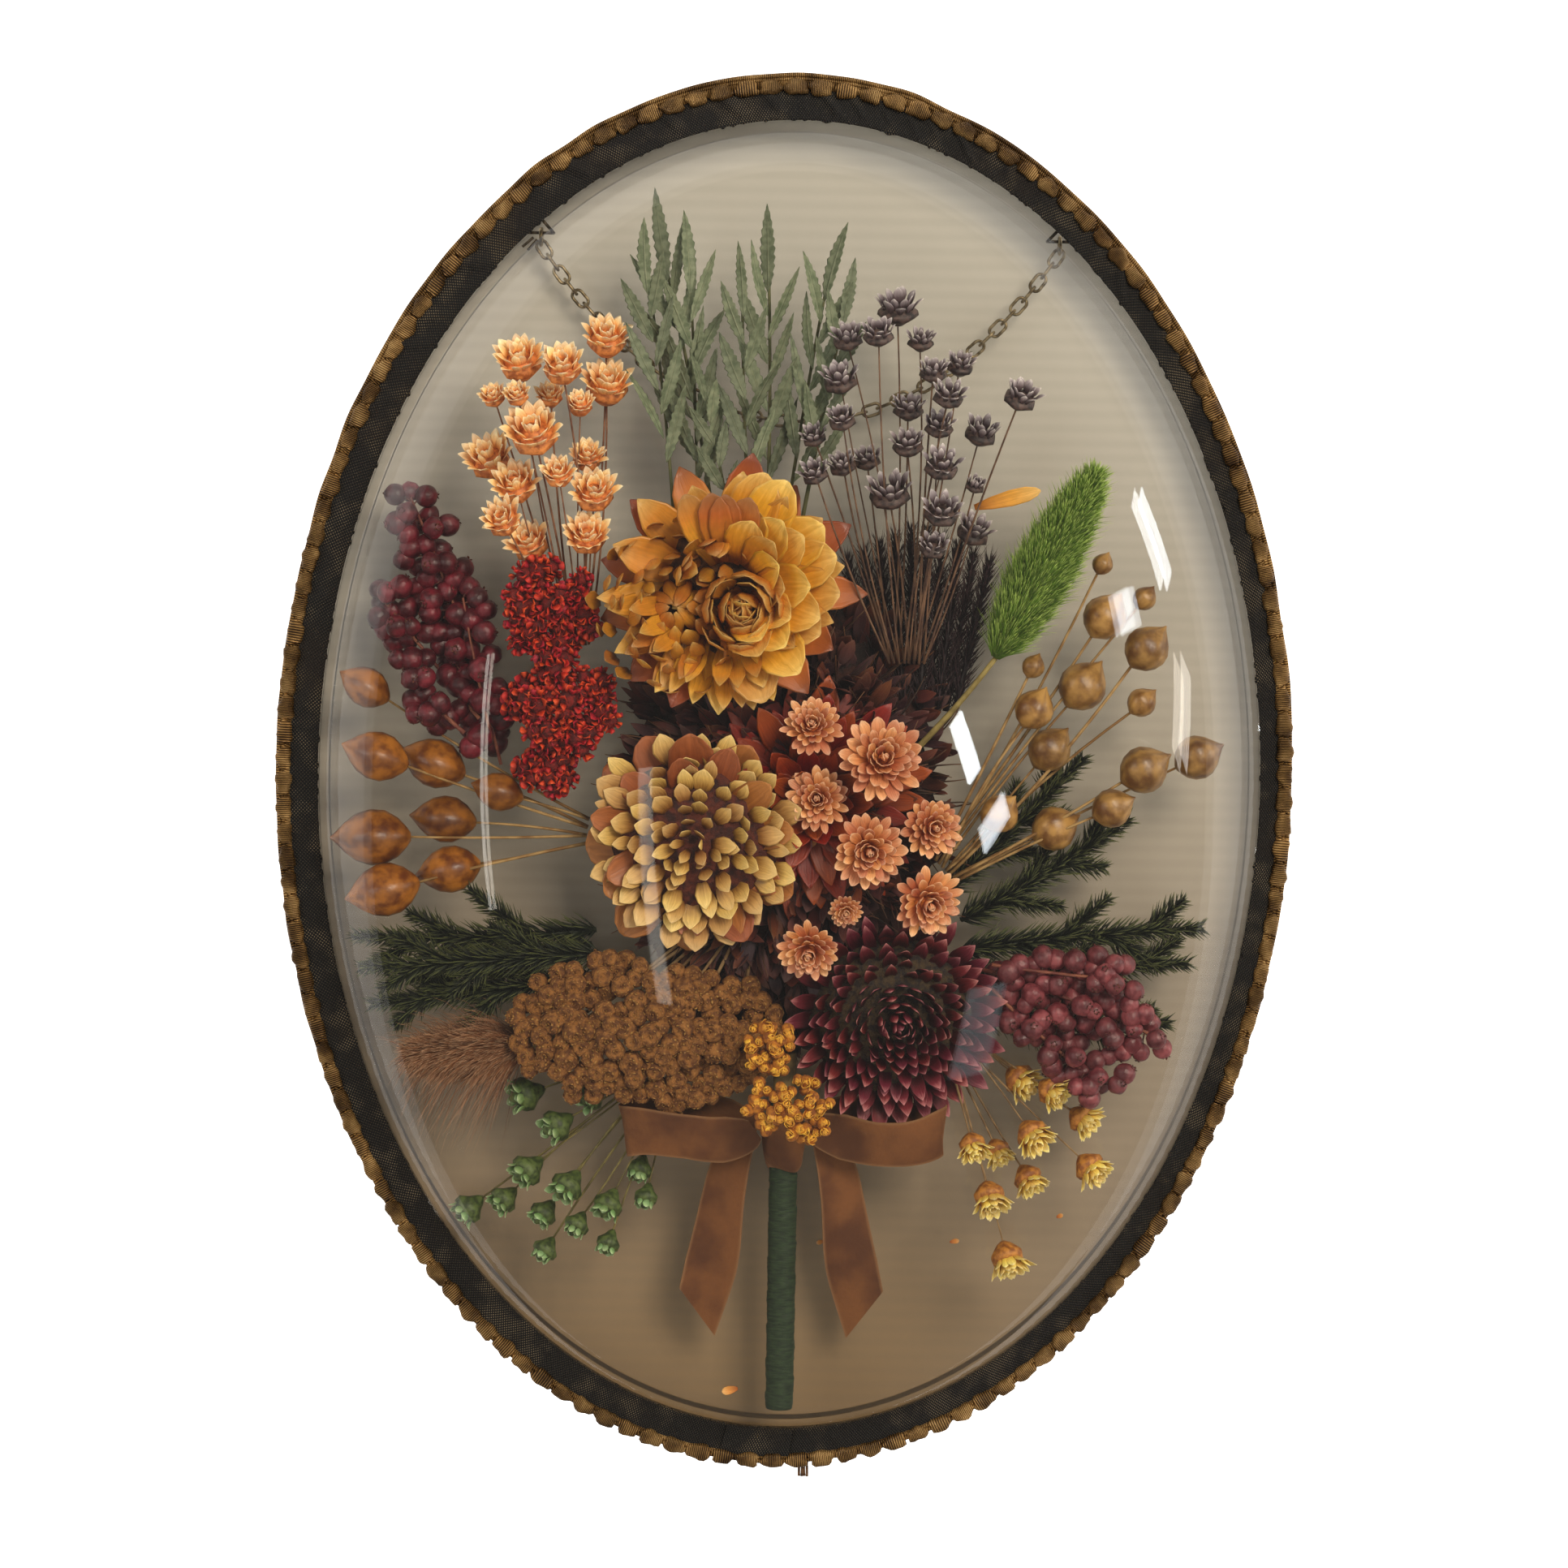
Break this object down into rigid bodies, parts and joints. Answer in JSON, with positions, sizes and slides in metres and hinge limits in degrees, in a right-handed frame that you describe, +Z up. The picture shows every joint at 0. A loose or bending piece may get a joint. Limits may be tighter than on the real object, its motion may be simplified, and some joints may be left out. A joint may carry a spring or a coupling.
{
  "type": "domed glass wall frame",
  "caption": "Oval domed glass wall frame with black tape binding, gold scalloped braid, a hanging chain and a sealed dried-flower bouquet.",
  "frame": {"origin": "middle of the oval, on the back plane of the binding tape, which rests on the wall", "axes": "+X to the right and +Z up as seen from the front; the front faces -Y and +Y points into the wall"},
  "size_m": [0.1876, 0.0528, 0.26],
  "materials": {
    "clear_glass": "polished, faintly smoke-toned old glass",
    "black_tape": "woven binding tape, wrinkled",
    "gold_braid": "tarnished metallic gimp braid",
    "chain_metal": "tarnished",
    "staple_wire": "dull dark wire",
    "glue": "set glue",
    "dark_moss": "dried filling",
    "stem_core": "dry stems",
    "stem_tape": "green crepe florist's tape",
    "velvet": "velvet ribbon",
    "golden_petals": "dry glossy petals",
    "cream_petals": "dry petals",
    "rust_petals": "dry petals",
    "burgundy_petals": "dry petals",
    "red_florets": "dry crested florets",
    "peach_petals": "dry petals",
    "orange_petals": "dry petals",
    "grey_petals": "dry petals",
    "yellow_petals": "dry petals",
    "green_petals": "dry petals",
    "brown_stems": "thin dry stems",
    "pale_stems": "thin dry stems",
    "green_stems": "thin dry stems",
    "flax_husk": "satin seed husk",
    "amber_husk": "satin seed husk",
    "burgundy_berry": "dried berries",
    "rose_berry": "dried berries",
    "yarrow": "dried florets",
    "gold_floret": "dried florets",
    "green_fuzz": "silky grass head",
    "brown_fuzz": "silky grass head",
    "sage_leaf": "dry leaves",
    "club_moss": "dry needles"
  },
  "bodies": {
    "root": {"amber_pods": "amber_husk", "amber_stems": "pale_stems", "back_glass": "clear_glass", "binding_tape": "black_tape", "braid_band": "gold_braid", "braid_end": "gold_braid", "braid_lobes": "gold_braid", "brown_bunny_tail": "brown_fuzz", "bunny_tail_stems": "brown_stems", "burgundy_berries": "burgundy_berry", "burgundy_berry_stems": "brown_stems", "burgundy_strawflower": "burgundy_petals", "cream_strawflower": "cream_petals", "dark_dried_bunch": "dark_moss", "dome_glass": "clear_glass", "flax_pods": "flax_husk", "flax_stems": "pale_stems", "glue_pad": "glue", "gold_florets": "gold_floret", "golden_strawflower": "golden_petals", "green_bunny_tail": "green_fuzz", "green_star_heads": "green_petals", "green_star_stems": "green_stems", "grey_star_heads": "grey_petals", "grey_star_stems": "brown_stems", "loose_petals": "orange_petals", "moss_core": "dark_moss", "moss_sprigs_left": "club_moss", "moss_sprigs_right": "club_moss", "orange_star_heads": "orange_petals", "orange_star_stems": "brown_stems", "peach_everlastings": "peach_petals", "red_celosia": "red_florets", "ribbon_knot": "velvet", "ribbon_loop_left": "velvet", "ribbon_loop_right": "velvet", "ribbon_tail_left": "velvet", "ribbon_tail_right": "velvet", "rose_berries": "rose_berry", "rose_berry_stems": "brown_stems", "rust_strawflower": "rust_petals", "sage_leaves_left": "sage_leaf", "sage_leaves_right": "sage_leaf", "sage_stems": "green_stems", "staple_left": "staple_wire", "staple_right": "staple_wire", "staple_wire_tail": "staple_wire", "stem_core": "stem_core", "stem_tape": "stem_tape", "tape_lap": "black_tape", "yarrow_bobbles": "yarrow", "yarrow_stems": "brown_stems", "yellow_star_heads": "yellow_petals", "yellow_star_stems": "pale_stems"},
    "chain": {"chain_ring_left": "chain_metal", "chain_ring_right": "chain_metal", "chain_links": "chain_metal"}
  },
  "joints": [
    {"name": "chain_swing", "type": "hinge", "parent": "root", "child": "chain", "pos_m": [0, 0.0022, 0.0998], "axis": [1, 0, 0], "range_deg": [0, 180]}
  ]
}
